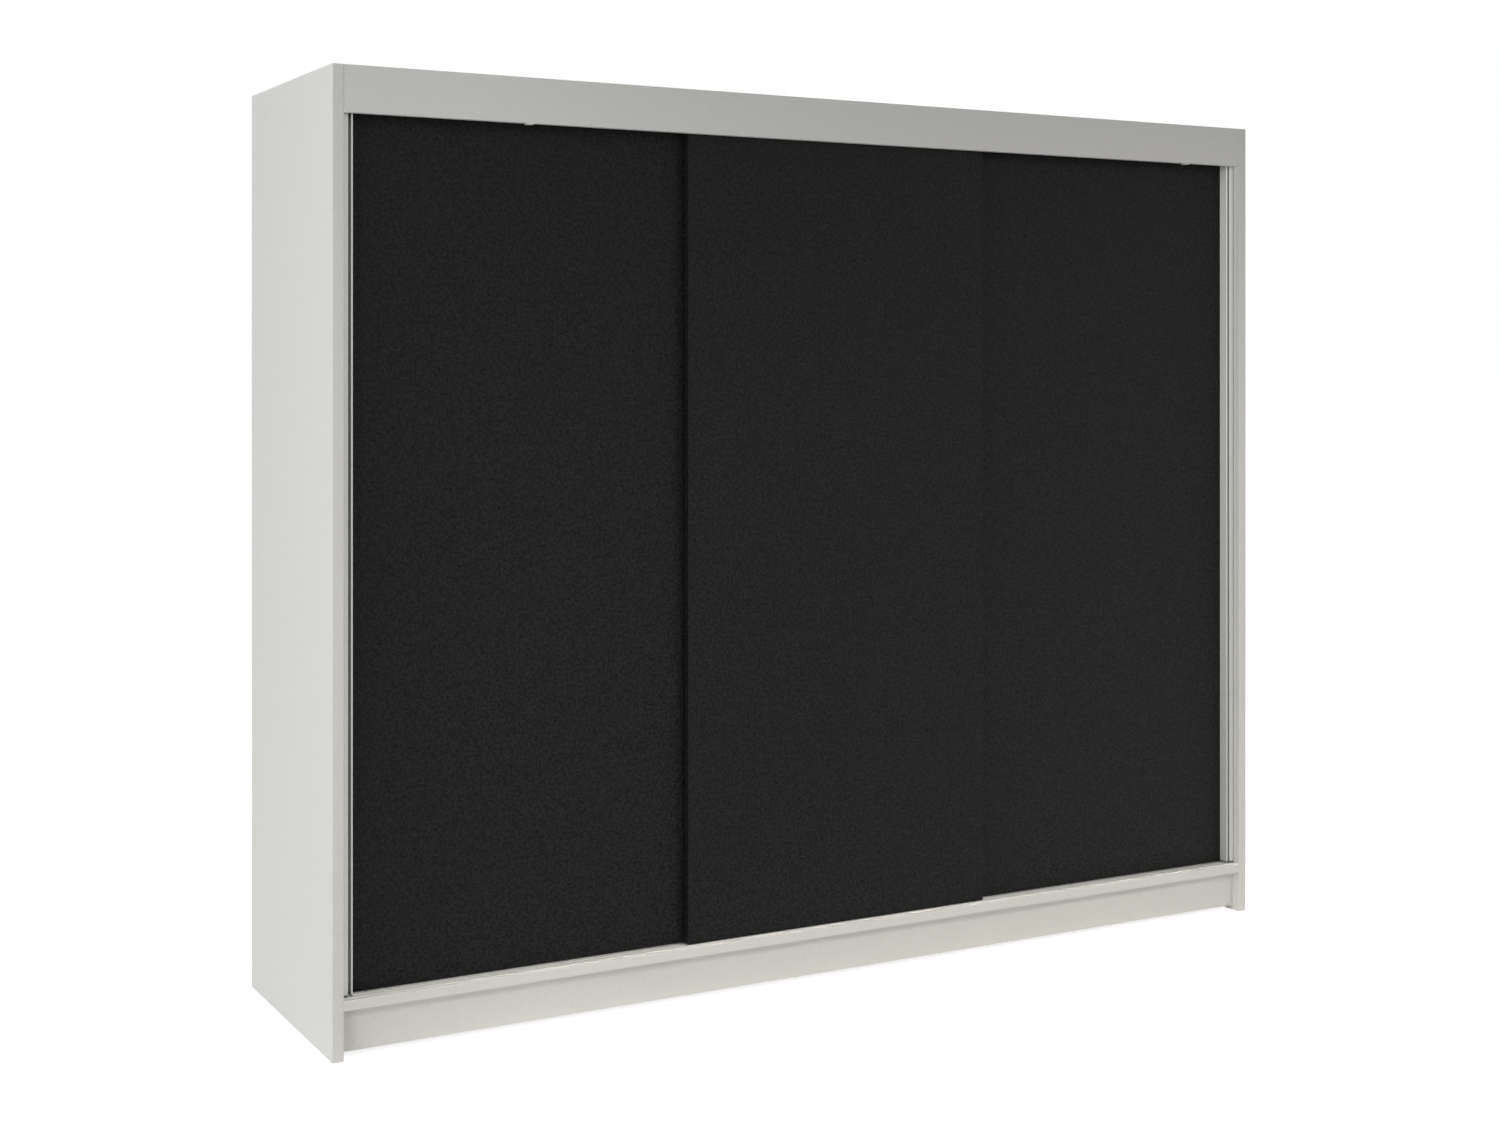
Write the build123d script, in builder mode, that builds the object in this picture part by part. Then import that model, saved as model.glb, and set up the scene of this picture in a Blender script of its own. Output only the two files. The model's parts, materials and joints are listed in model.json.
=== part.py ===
from build123d import *
import os

os.makedirs("parts", exist_ok=True)

# Sliding door wardrobe, in millimetres. X runs across the width, Y runs from the front to the back
# and Z up. The origin is on the floor, in the middle of the wardrobe's width and depth.

# ---- carcass ----
width = 2500.0  # over both side panels
height = 2080.0  # floor to the top panel's upper face
side_depth = 610.0  # front edge to rear edge of a side panel
side_board = 25.0  # thickness of the side panels
deck_board = 22.0  # thickness of the top and bottom panels
face_board = 16.0  # thickness of the fascia and the plinths
inner_board = 18.0  # thickness of partitions and cross boards
shelf_board = 18.0  # thickness of the shelves
edge_round = 1.0  # rounding of the edge-banded arrises
fascia_height = 100.0
fascia_end_gap = 0.5  # between the fascia's ends and the side panels
clip_from_left = 445.0  # left clip under the fascia, from the left side panel's outer face
clip_from_right = 200.0  # right clip, from the right side panel's outer face
clip_length = 14.0
clip_foot = 2.5  # thickness under the fascia
clip_leg = 1.2  # thickness behind the fascia
clip_rise = 12.0
deck_underside = 105.5  # floor to the bottom panel's underside
plinth_setback = 24.0  # plinth face behind the side panel's front edge
plinth_floor_gap = 14.0
rear_plinth_inset = 16.0  # rear plinth in front of the carcass's rear edge
foot_height = 2.0
foot_width = 16.0
foot_length = 32.0
foot_inset = 40.0  # foot centre from a side panel's front or rear edge
cross_foot_inset = 80.0  # foot centre from a cross board's front or rear end
partition_setback = 75.0  # partition front edges behind the side panels' front edges

# ---- back ----
back_sheet = 3.0
strip_flange = 0.8
strip_web = 1.0
strip_width = 20.0
back_side_margin = 1.0  # back sheet's edge inside the wardrobe's outline

# ---- joining the boards ----
cam_radius = 7.5
cam_inset = 34.0  # cam centre from the end of its board
cam_past_centre = 4.5  # how deep a cam goes past the middle of its board
cam_bolt_radius = 3.0
cam_bolt_head_radius = 3.8
cam_bolt_head_length = 6.0
cam_bolt_grip = 11.0  # length of the bolt inside the side panel
cam_edge_inset = 60.0  # cams from the front and rear edges of their board
dowel_radius = 4.0
dowel_length = 30.0
dowel_grip = 12.0  # length of a dowel inside the side panel
dowel_inset = 28.0  # dowels from the upper and lower edges of their board
fit_slack = 0.1  # radial room between a fastener and its hole
fastener_sides = 6  # hidden fasteners and their holes are six-sided, to keep the model light

# ---- shelves and rails ----
hat_shelf_headroom = 300.0  # clear height over the top shelves
shelf_setback = 5.0  # shelf front edge behind the partition's front edge
shelf_side_gap = 0.5
shelf_count = 3  # shelves under the top shelf in the middle bay
pin_radius = 2.5
pin_grip = 8.0  # length of a shelf pin inside the board
pin_stand = 8.0  # length of a shelf pin under the shelf
pin_inset = 50.0  # pins from the front and rear edges of a shelf
rail_radius = 12.5
rail_wall = 1.0
rail_drop = 50.0  # rail centre under the top shelf
rail_end_gap = 1.0
cup_radius = 17.0
cup_base = 3.0
cup_depth = 12.0
cup_rise = 14.0  # top of the cup over the rail's centre
cup_slack = 0.2

# ---- doors ----
door_board = 18.0
front_door_setback = 18.0  # middle door's face behind the carcass's front
door_pitch = 26.0  # rear doors' face behind the middle door's face
middle_door_width = 819.0
door_overlap = 31.5  # width of a rear door hidden behind the middle door
door_lift = 3.0  # doors' lower edge over the bottom panel
door_top_cover = 50.0  # how far the doors reach up behind the fascia
closing_gap = 1.2  # between a closed rear door and the side panel
buffer_thickness = 0.9
buffer_radius = 5.0
buffer_end_inset = 300.0  # buffers from the lower and upper ends of the door

# ---- handle profile ----
handle_wall = 1.5
handle_box_width = 13.5
handle_proud = 26.0  # front of the handle before the door's face
finger_groove = 6.5  # between the box and the lip's bead
bead_radius = 2.0
clamp_leg = 20.0  # rear leg of the profile behind the door board
handle_round = 1.4
handle_cap = 3.0  # thickness of the plastic caps on the profile's ends

# ---- bottom track ----
track_front_setback = 15.0
track_base = 1.0
ridge_width = 2.4
ridge_height = 2.5
lip_width = 1.6
lip_height = 2.0
track_rear_margin = 4.0  # track behind the rear doors' back face
track_end_gap = 1.0

# ---- top track ----
channel_width = 12.0
channel_height = 20.0
channel_wall = 1.5
guide_side_gap = 0.4
guide_length = 60.0
guide_sink = 14.0  # depth of the guide's body in the door's top edge
guide_body_width = 10.0
guide_body_length = 44.0
guide_top_gap = 4.0
guide_lead_in = 3.0  # chamfers that lead the tongue into the channel

# ---- roller trucks ----
wheel_inset = 95.0  # wheel centre from the door board's vertical edge
wheel_radius = 10.0  # at the root of the groove
wheel_flange = 1.2
wheel_width = 7.6
wheel_track_gap = 0.3
axle_radius = 2.0
axle_running_gap = 0.05
axle_press_gap = 0.02
groove_side_gap = 0.3  # between the ridge and the root of the wheel's groove
truck_length = 56.0
truck_width = 11.8
truck_height = 23.0
truck_roof = 1.0  # over the wheel's slot
truck_slot_length = 25.0
truck_slot_width = 8.4
truck_flange_length = 84.0
truck_flange_width = 14.0
truck_flange = 2.0
mortise_slack = 0.1

# ---- joint screws ----
joint_screw_radius = 2.5  # screws through the top and bottom panels into the partitions
joint_screw_head = 4.8
joint_head_depth = 3.0
joint_screw_length = 50.0

# ---- wall brackets ----
bracket_leg = 40.0
bracket_width = 30.0
bracket_steel = 2.0
wall_bore_radius = 4.0
bracket_from_partition = 200.0

# ---- places that follow from the sizes ----
overall_depth = side_depth + back_sheet + strip_flange
front = -overall_depth / 2
left = -width / 2
inner_left = left + side_board
rear_edge = front + side_depth
deck_top = deck_underside + deck_board
ceiling = height - deck_board
bay_width = (width - 2 * side_board - 2 * inner_board) / 3
partition_left = inner_left + bay_width
partition_right = partition_left + inner_board
partition_front = front + partition_setback
partition_rear = rear_edge - strip_flange
hat_top = ceiling - hat_shelf_headroom
hat_underside = hat_top - shelf_board
shelf_front = partition_front + shelf_setback
shelf_rear = partition_rear
door_bottom = deck_top + door_lift
door_top = height - fascia_height + door_top_cover
front_face = front + front_door_setback
rear_face = front_face + door_pitch
front_middle = front_face + door_board / 2
rear_middle = rear_face + door_board / 2
track_front = front + track_front_setback
track_rear = rear_face + door_board + track_rear_margin
door_left = inner_left + closing_gap
board_left = door_left + handle_wall
board_right = door_overlap - middle_door_width / 2
axle_height = deck_top + ridge_height + wheel_track_gap + wheel_radius


def level(z):
    """A horizontal plane at height z: local x and y are X and Y."""
    return Plane.XY.offset(z)


def facing(y):
    """An upright plane across the width: local x and y are X and Z, and it looks to the front."""
    return Plane.XZ.offset(-y)


def across(x):
    """An upright plane from front to back: local x and y are Y and Z, and it looks to the right."""
    return Plane.YZ.offset(x)


def board(low, high):
    """A rectangular board between two opposite corners."""
    with BuildPart() as blank:
        with BuildSketch(level(low[2])):
            with Locations(((low[0] + high[0]) / 2, (low[1] + high[1]) / 2)):
                Rectangle(high[0] - low[0], high[1] - low[1])
        extrude(amount=high[2] - low[2])
    return blank.part


def rods(plane, points, radius, length):
    """Round rods from points of a plane along its normal, or back for a negative length."""
    with BuildPart() as bars:
        with BuildSketch(plane):
            with Locations(*points):
                Circle(radius)
        extrude(amount=length)
    return bars.part


def pegs(plane, points, radius, length):
    """Fasteners of a few flat sides, one of them on top, placed as rods() places its rods."""
    flat_on_top = 90 - 180 / fastener_sides
    with BuildPart() as bars:
        with BuildSketch(plane):
            with Locations(*points):
                RegularPolygon(radius, fastener_sides, major_radius=False, rotation=flat_on_top)
        extrude(amount=length)
    return bars.part


def drill(plane, points, radius, depth):
    """Holes for fasteners in the part that is being built, placed as pegs() places them."""
    add(pegs(plane, points, radius, depth), mode=Mode.SUBTRACT)


def with_twin(shape):
    """A left-hand shape together with its mirror image on the right."""
    with BuildPart() as pair:
        add(shape)
        mirror(shape, about=Plane.YZ)
    return pair.part


def drill_ends(points, radius, depth):
    """Holes along X into both ends of a board that spans the carcass."""
    add(with_twin(pegs(across(inner_left), points, radius, depth)), mode=Mode.SUBTRACT)


def save(builder, name):
    """Names a finished piece and writes it."""
    builder.part.label = name
    export_step(builder.part, f"parts/{name}.step")


def save_both(builder, name):
    """Writes a left-hand piece and its mirrored right-hand twin."""
    save(builder, f"left_{name}")
    with BuildPart() as twin:
        mirror(builder.part, about=Plane.YZ)
    save(twin, f"right_{name}")


# ---- where the fittings sit ----
lower_deck = deck_underside + deck_board / 2
upper_deck = height - deck_board / 2
cam_rows = [front + cam_edge_inset, rear_edge - cam_edge_inset]
fascia_row = front + face_board / 2
plinth_row = front + plinth_setback + face_board / 2
rear_plinth_row = rear_edge - rear_plinth_inset - face_board / 2
fascia_levels = [height - fascia_height + dowel_inset, height - dowel_inset]
plinth_levels = [plinth_floor_gap + dowel_inset, deck_underside - dowel_inset]
fascia_dowels = [(fascia_row, z) for z in fascia_levels]
plinth_dowels = [(plinth_row, z) for z in plinth_levels]
rear_plinth_dowels = [(rear_plinth_row, z) for z in plinth_levels]
side_dowels = fascia_dowels + plinth_dowels + rear_plinth_dowels
side_cams = [(y, z) for y in cam_rows for z in (lower_deck, upper_deck)]
shelf_gap = (hat_underside - deck_top - shelf_count * shelf_board) / (shelf_count + 1)
shelf_levels = [deck_top + shelf_gap + n * (shelf_gap + shelf_board) for n in range(shelf_count)]
pin_rows = [shelf_front + pin_inset, shelf_rear - pin_inset]
hat_pins = [(y, hat_underside - pin_radius) for y in pin_rows]
shelf_pins = [(y, z - pin_radius) for y in pin_rows for z in shelf_levels]
rail_row = (partition_front + partition_rear) / 2
rail_level = hat_underside - rail_drop
partition_middle = (partition_left + partition_right) / 2
joint_rows = [partition_front + cam_edge_inset, partition_rear - cam_edge_inset]
joint_spots = [(s * partition_middle, y) for s in (-1, 1) for y in joint_rows]
track_middle = (front_middle + rear_middle) / 2
track_span = width - 2 * side_board - 2 * track_end_gap
bracket_spot = partition_left - bracket_from_partition
wall_hole = [(bracket_spot, ceiling - bracket_leg / 2)]

# ---- side panels ----
with BuildPart() as side_panel:
    add(board((left, front, foot_height), (inner_left, rear_edge, height)))
    fillet(side_panel.edges().filter_by(Axis.Z).group_by(Axis.Y)[0], edge_round)
    drill(across(inner_left), side_cams, cam_bolt_radius + fit_slack, -cam_bolt_grip)
    drill(across(inner_left), side_dowels, dowel_radius + fit_slack, -dowel_grip)
    drill(across(inner_left), hat_pins, pin_radius + fit_slack, -pin_grip)
save_both(side_panel, "side_panel")


# ---- top and bottom panels ----
def deck(name, underside, front_edge, inward):
    """A deck with cam pockets and partition screws in its outer face, and bores in its ends."""
    outer = underside if inward > 0 else underside + deck_board
    pockets = [(s * (inner_left + cam_inset), y) for y in cam_rows for s in (-1, 1)]
    pocket_depth = deck_board / 2 + cam_past_centre
    bolt_bores = [(y, underside + deck_board / 2) for y in cam_rows]
    with BuildPart() as panel:
        add(
            board(
                (inner_left, front_edge, underside),
                (-inner_left, rear_edge, underside + deck_board),
            )
        )
        if front_edge == front:
            fillet(panel.edges().filter_by(Axis.X).group_by(Axis.Y)[0], edge_round)
        drill(level(outer), pockets, cam_radius + fit_slack, inward * pocket_depth)
        drill_ends(bolt_bores, cam_bolt_head_radius + fit_slack, cam_inset)
        drill(level(outer), joint_spots, joint_screw_radius + fit_slack, inward * deck_board)
        drill(level(outer), joint_spots, joint_screw_head + fit_slack, inward * joint_head_depth)
    save(panel, name)


deck("bottom_panel", deck_underside, front, inward=1)
deck("top_panel", ceiling, front + face_board, inward=-1)

# ---- fascia and plinths ----
with BuildPart() as fascia:
    end = inner_left + fascia_end_gap
    add(board((end, front, height - fascia_height), (-end, front + face_board, height)))
    fillet(fascia.faces().sort_by(Axis.Y)[0].edges(), edge_round)
    drill_ends(fascia_dowels, dowel_radius + fit_slack, dowel_length - dowel_grip)
save(fascia, "fascia_board")

with BuildPart() as clips:
    fascia_back = front + face_board
    lower_edge = height - fascia_height
    for middle in (left + clip_from_left, -left - clip_from_right):
        start = middle - clip_length / 2
        end = start + clip_length
        foot_low = (start, front + edge_round, lower_edge - clip_foot)
        add(board(foot_low, (end, fascia_back + clip_leg, lower_edge)))
        leg_high = (end, fascia_back + clip_leg, lower_edge + clip_rise)
        add(board((start, fascia_back, lower_edge), leg_high))
save(clips, "fascia_clips")

with BuildPart() as plinth:
    plinth_front = front + plinth_setback
    add(
        board(
            (inner_left, plinth_front, plinth_floor_gap),
            (-inner_left, plinth_front + face_board, deck_underside),
        )
    )
    drill_ends(plinth_dowels, dowel_radius + fit_slack, dowel_length - dowel_grip)
save(plinth, "plinth_board")

with BuildPart() as rear_plinth:
    rear_plinth_front = rear_plinth_row - face_board / 2
    add(
        board(
            (inner_left, rear_plinth_front, plinth_floor_gap),
            (-inner_left, rear_plinth_front + face_board, deck_underside),
        )
    )
    drill_ends(rear_plinth_dowels, dowel_radius + fit_slack, dowel_length - dowel_grip)
save(rear_plinth, "rear_plinth_board")

with BuildPart() as cross_boards:
    add(
        with_twin(
            board(
                (partition_left, plinth_front + face_board, plinth_floor_gap),
                (partition_right, rear_plinth_front, deck_underside),
            )
        )
    )
save(cross_boards, "plinth_cross_boards")

# ---- partitions ----
with BuildPart() as partition:
    add(
        board(
            (partition_left, partition_front, deck_top),
            (partition_right, partition_rear, ceiling),
        )
    )
    fillet(partition.edges().filter_by(Axis.Z).group_by(Axis.Y)[0], edge_round)
    drill(across(partition_left), hat_pins, pin_radius + fit_slack, pin_grip)
    drill(across(partition_right), hat_pins + shelf_pins, pin_radius + fit_slack, -pin_grip)
    grip = joint_screw_length - deck_board
    seats = [(partition_middle, y) for y in joint_rows]
    drill(level(deck_top), seats, joint_screw_radius + fit_slack, grip)
    drill(level(ceiling), seats, joint_screw_radius + fit_slack, -grip)
save_both(partition, "partition")

# ---- shelves ----
with BuildPart() as hat_shelf:
    add(
        board(
            (inner_left + shelf_side_gap, shelf_front, hat_underside),
            (partition_left - shelf_side_gap, shelf_rear, hat_top),
        )
    )
    fillet(hat_shelf.edges().filter_by(Axis.X).group_by(Axis.Y)[0], edge_round)
save_both(hat_shelf, "hat_shelf")

for number, underside in enumerate(shelf_levels + [hat_underside], start=1):
    with BuildPart() as shelf:
        shelf_end = -partition_right - shelf_side_gap
        add(
            board(
                (-shelf_end, shelf_front, underside),
                (shelf_end, shelf_rear, underside + shelf_board),
            )
        )
        fillet(shelf.edges().filter_by(Axis.X).group_by(Axis.Y)[0], edge_round)
    save(shelf, "middle_hat_shelf" if underside == hat_underside else f"middle_shelf_{number}")

with BuildPart() as pins:
    pin_length = pin_grip + pin_stand
    add(with_twin(pegs(across(inner_left - pin_grip), hat_pins, pin_radius, pin_length)))
    add(with_twin(pegs(across(partition_left + pin_grip), hat_pins, pin_radius, -pin_length)))
    middle_pins = hat_pins + shelf_pins
    add(with_twin(pegs(across(partition_right - pin_grip), middle_pins, pin_radius, pin_length)))
save(pins, "shelf_pins")

# ---- hanging rails ----
with BuildPart() as rail:
    rail_start = inner_left + cup_base + rail_end_gap
    rail_length = bay_width - 2 * (cup_base + rail_end_gap)
    with BuildSketch(across(rail_start)):
        with Locations((rail_row, rail_level)):
            Circle(rail_radius)
            Circle(rail_radius - rail_wall, mode=Mode.SUBTRACT)
    extrude(amount=rail_length)
save_both(rail, "hanging_rail")


def rail_cup(x, direction):
    """A U-shaped rail holder, open at the top, so that the rail drops in from above."""
    with BuildPart() as cup:
        for start, reach, radius, mode in (
            (0, cup_depth, cup_radius, Mode.ADD),
            (cup_base, cup_depth - cup_base, rail_radius + cup_slack, Mode.SUBTRACT),
        ):
            with BuildSketch(across(x + direction * start)):
                with Locations((rail_row, rail_level)):
                    Circle(radius)
                with Locations((rail_row, rail_level + cup_rise / 2)):
                    Rectangle(2 * radius, cup_rise)
                with Locations((rail_row, rail_level + cup_rise + radius)):
                    Rectangle(2 * radius, 2 * radius, mode=Mode.SUBTRACT)
            extrude(amount=direction * reach, mode=mode)
    return cup.part


with BuildPart() as cups:
    add(with_twin(rail_cup(inner_left, 1)))
    add(with_twin(rail_cup(partition_left, -1)))
save(cups, "rail_holders")

# ---- back ----
back_seam = partition_middle
with BuildPart() as side_back:
    low_x = left + back_side_margin
    high_x = back_seam - strip_web / 2
    add(
        board(
            (low_x, rear_edge, deck_underside + back_side_margin),
            (high_x, rear_edge + back_sheet, height - back_side_margin),
        )
    )
    add(rods(facing(rear_edge), wall_hole, wall_bore_radius, -back_sheet), mode=Mode.SUBTRACT)
save_both(side_back, "back_panel")

with BuildPart() as middle_back:
    half = -back_seam - strip_web / 2
    add(
        board(
            (-half, rear_edge, deck_underside + back_side_margin),
            (half, rear_edge + back_sheet, height - back_side_margin),
        )
    )
save(middle_back, "middle_back_panel")

with BuildPart() as strips:
    with BuildSketch(level(deck_top)):
        with Locations((back_seam, rear_edge - strip_flange / 2)):
            Rectangle(strip_width, strip_flange)
        with Locations((back_seam, rear_edge + back_sheet / 2)):
            Rectangle(strip_web, back_sheet)
        with Locations((back_seam, rear_edge + back_sheet + strip_flange / 2)):
            Rectangle(strip_width, strip_flange)
    extrude(amount=ceiling - deck_top)
    mirror(strips.part, about=Plane.YZ)
save(strips, "back_joint_strips")

# ---- tracks ----
with BuildPart() as bottom_track:
    with BuildSketch(across(inner_left + track_end_gap)):
        with Locations(((track_front + track_rear) / 2, deck_top + track_base / 2)):
            Rectangle(track_rear - track_front, track_base)
        ridge_shoulder = ridge_height - ridge_width / 2
        for row in (front_middle, rear_middle):
            with Locations((row, deck_top + ridge_shoulder / 2)):
                Rectangle(ridge_width, ridge_shoulder)
            with Locations((row, deck_top + ridge_shoulder)):
                Circle(ridge_width / 2)
        for row in (track_front + lip_width / 2, track_rear - lip_width / 2):
            with Locations((row, deck_top + lip_height / 2)):
                Rectangle(lip_width, lip_height)
    extrude(amount=track_span)
save(bottom_track, "bottom_track")

with BuildPart() as top_track:
    wall_offset = (channel_width + channel_wall) / 2
    plate_depth = rear_middle - front_middle + 2 * wall_offset + channel_wall
    with BuildSketch(across(inner_left + track_end_gap)):
        with Locations((track_middle, ceiling - channel_wall / 2)):
            Rectangle(plate_depth, channel_wall)
        for row in (front_middle, rear_middle):
            with Locations(*[(row + s * wall_offset, ceiling - channel_height / 2) for s in (-1, 1)]):
                Rectangle(channel_wall, channel_height)
    extrude(amount=track_span)
save(top_track, "top_track")


# ---- doors ----
def blocks(z, spots, length, breadth, rise, slack=0.0):
    """Blocks that stand up from height z, or hang from it, for a truck, a guide or a mortise."""
    with BuildPart() as made:
        with BuildSketch(level(z)):
            with Locations(*spots):
                Rectangle(length + 2 * slack, breadth + 2 * slack)
        extrude(amount=rise)
    return made.part


def wheel_spots(x_low, x_high, row):
    """Where the two trucks and the two guides of a door sit."""
    return [(x_low + wheel_inset, row), (x_high - wheel_inset, row)]


def door_panel(x_low, x_high, face):
    """A door board with mortises for its trucks below and for its guides above."""
    spots = wheel_spots(x_low, x_high, face + door_board / 2)
    slack = mortise_slack
    with BuildPart() as panel:
        add(board((x_low, face, door_bottom), (x_high, face + door_board, door_top)))
        for pocket in (
            blocks(door_bottom, spots, truck_length, truck_width, truck_height, slack),
            blocks(door_bottom, spots, truck_flange_length, truck_flange_width, truck_flange, slack),
            blocks(door_top, spots, guide_body_length, guide_body_width, -guide_sink, slack),
        ):
            add(pocket, mode=Mode.SUBTRACT)
    return panel.part


def door_trucks(spots):
    """Roller trucks: a block under a flange, with a slot between two cheeks for the wheel."""
    bores = [(x, axle_height) for x, _ in spots]
    with BuildPart() as trucks:
        add(blocks(door_bottom, spots, truck_length, truck_width, truck_height))
        add(blocks(door_bottom, spots, truck_flange_length, truck_flange_width, truck_flange))
        slot = blocks(
            door_bottom, spots, truck_slot_length, truck_slot_width, truck_height - truck_roof
        )
        add(slot, mode=Mode.SUBTRACT)
        drill(facing(spots[0][1] + truck_width / 2), bores, axle_radius + axle_press_gap, truck_width)
    return trucks.part


def door_axles(spots):
    """Steel pins across the two cheeks of each truck."""
    points = [(x, axle_height) for x, _ in spots]
    return rods(facing(spots[0][1] + truck_width / 2), points, axle_radius, truck_width)


def door_guides(spots):
    """Top guides: a stem sunk in the door's edge and a tongue that runs in the top track's channel."""
    tongue = channel_width - 2 * guide_side_gap
    tongue_height = ceiling - channel_wall - guide_top_gap - door_top
    with BuildPart() as guides:
        add(blocks(door_top, spots, guide_length, tongue, tongue_height))
        chamfer(guides.edges().filter_by(Axis.Z), guide_lead_in)
        add(blocks(door_top, spots, guide_body_length, guide_body_width, -guide_sink))
    return guides.part


def wheel(spot):
    """A grooved wheel on its axle: the groove rides on the track's ridge."""
    bore = axle_radius + axle_running_gap
    outer = wheel_radius + wheel_flange
    root_half = ridge_width / 2 + groove_side_gap
    with BuildPart() as turned:
        with BuildSketch(Plane.XY):
            with BuildLine():
                Polyline(
                    (bore, -wheel_width / 2),
                    (outer, -wheel_width / 2),
                    (wheel_radius, -root_half),
                    (wheel_radius, root_half),
                    (outer, wheel_width / 2),
                    (bore, wheel_width / 2),
                    close=True,
                )
            make_face()
        revolve(axis=Axis.Y)
    with BuildPart() as placed:
        with Locations((spot[0], spot[1], axle_height)):
            add(turned.part)
    return placed


rear_spots = wheel_spots(board_left, board_right, rear_middle)
middle_half = middle_door_width / 2
front_spots = wheel_spots(-middle_half, middle_half, front_middle)

with BuildPart() as rear_door:
    add(door_panel(board_left, board_right, rear_face))
save_both(rear_door, "door_board")

with BuildPart() as middle_door:
    add(door_panel(-middle_half, middle_half, front_face))
save(middle_door, "middle_door_board")

fittings = {
    "trucks": door_trucks,
    "axles": door_axles,
    "guides": door_guides,
}
for fitting, make in fittings.items():
    with BuildPart() as rear_fitting:
        add(make(rear_spots))
    save_both(rear_fitting, f"door_{fitting}")
    with BuildPart() as middle_fitting:
        add(make(front_spots))
    save(middle_fitting, f"middle_door_{fitting}")

save_both(wheel(rear_spots[0]), "door_outer_wheel")
save_both(wheel(rear_spots[1]), "door_inner_wheel")
save(wheel(front_spots[0]), "middle_door_left_wheel")
save(wheel(front_spots[1]), "middle_door_right_wheel")

# ---- handle profile ----
handle_front = rear_face - handle_proud
box_end = door_left + handle_box_width
lip_end = box_end + finger_groove + 2 * bead_radius
clamp_back = rear_face + door_board
front_plate = (door_left, handle_front, box_end, handle_front + handle_wall)
box_wall = (box_end - handle_wall, handle_front, box_end, rear_face)
face_plate = (door_left, rear_face - handle_wall, lip_end, rear_face)
lip = (lip_end - handle_wall, handle_front + bead_radius, lip_end, rear_face)
edge_plate = (door_left, handle_front, board_left, clamp_back + handle_wall)
rear_leg = (door_left, clamp_back, door_left + clamp_leg, clamp_back + handle_wall)
solid_box = (door_left, handle_front, box_end, rear_face)


def profile(z, plates, length):
    """A length of the handle's section: flat plates and the rounded bead on the lip."""
    with BuildPart() as run:
        with BuildSketch(level(z)) as section:
            for x0, y0, x1, y1 in plates:
                with Locations(((x0 + x1) / 2, (y0 + y1) / 2)):
                    Rectangle(x1 - x0, y1 - y0)
            with Locations((lip_end - bead_radius, handle_front + bead_radius)):
                Circle(bead_radius)
            fillet(section.vertices().group_by(Axis.Y)[0], handle_round)
        extrude(amount=length)
    return run.part


with BuildPart() as handle:
    plates = [front_plate, box_wall, face_plate, lip, edge_plate, rear_leg]
    run_length = door_top - door_bottom - 2 * handle_cap
    add(profile(door_bottom + handle_cap, plates, run_length))
save_both(handle, "door_handle")

with BuildPart() as handle_caps:
    for end in (door_bottom, door_top - handle_cap):
        add(profile(end, [solid_box, face_plate, lip], handle_cap))
save_both(handle_caps, "door_handle_caps")

# ---- buffers and feet ----
with BuildPart() as buffers:
    buffer_levels = [door_bottom + buffer_end_inset, door_top - buffer_end_inset]
    spots = [(rear_middle, z) for z in buffer_levels]
    add(with_twin(pegs(across(inner_left), spots, buffer_radius, buffer_thickness)))
save(buffers, "door_buffers")

with BuildPart() as feet:
    side_feet = [(left + side_board / 2, y) for y in (front + foot_inset, rear_edge - foot_inset)]
    cross_front = plinth_front + face_board + cross_foot_inset
    cross_rear = rear_plinth_front - cross_foot_inset
    cross_feet = [(partition_middle, y) for y in (cross_front, cross_rear)]
    for places, foot_top in ((side_feet, foot_height), (cross_feet, plinth_floor_gap)):
        with BuildSketch(level(0)):
            with Locations(*places):
                Rectangle(foot_width, foot_length)
        extrude(amount=foot_top)
    mirror(feet.part, about=Plane.YZ)
save(feet, "feet")

# ---- cams, bolts and dowels ----
with BuildPart() as cams:
    pockets = [(s * (inner_left + cam_inset), y) for y in cam_rows for s in (-1, 1)]
    cam_height = deck_board / 2 + cam_past_centre
    add(pegs(level(deck_underside), pockets, cam_radius, cam_height))
    add(pegs(level(height), pockets, cam_radius, -cam_height))
    head_bore = cam_bolt_head_radius + fit_slack
    drill_ends(side_cams, head_bore, cam_inset + cam_bolt_head_length / 2 + fit_slack)
save(cams, "cam_discs")

with BuildPart() as bolts:
    bolt_start = inner_left - cam_bolt_grip
    neck = cam_bolt_grip + cam_inset - cam_bolt_head_length / 2
    shanks = pegs(across(bolt_start), side_cams, cam_bolt_radius, neck)
    heads = pegs(across(bolt_start + neck), side_cams, cam_bolt_head_radius, cam_bolt_head_length)
    add(with_twin(shanks))
    add(with_twin(heads))
save(bolts, "cam_bolts")

with BuildPart() as dowels:
    add(with_twin(pegs(across(inner_left - dowel_grip), side_dowels, dowel_radius, dowel_length)))
save(dowels, "dowels")

with BuildPart() as joint_screws:
    for outer_face, inward in ((deck_underside, 1), (height, -1)):
        add(pegs(level(outer_face), joint_spots, joint_screw_radius, inward * joint_screw_length))
        add(pegs(level(outer_face), joint_spots, joint_screw_head, inward * joint_head_depth))
save(joint_screws, "joint_screws")

# ---- wall brackets ----
with BuildPart() as brackets:
    with BuildSketch(across(bracket_spot - bracket_width / 2)):
        with Locations((rear_edge - bracket_leg / 2, ceiling - bracket_steel / 2)):
            Rectangle(bracket_leg, bracket_steel)
        with Locations((rear_edge - bracket_steel / 2, ceiling - bracket_leg / 2)):
            Rectangle(bracket_steel, bracket_leg)
    extrude(amount=bracket_width)
    bore = rods(facing(rear_edge), wall_hole, wall_bore_radius, bracket_steel)
    add(bore, mode=Mode.SUBTRACT)
    mirror(brackets.part, about=Plane.YZ)
save(brackets, "wall_brackets")
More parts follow.
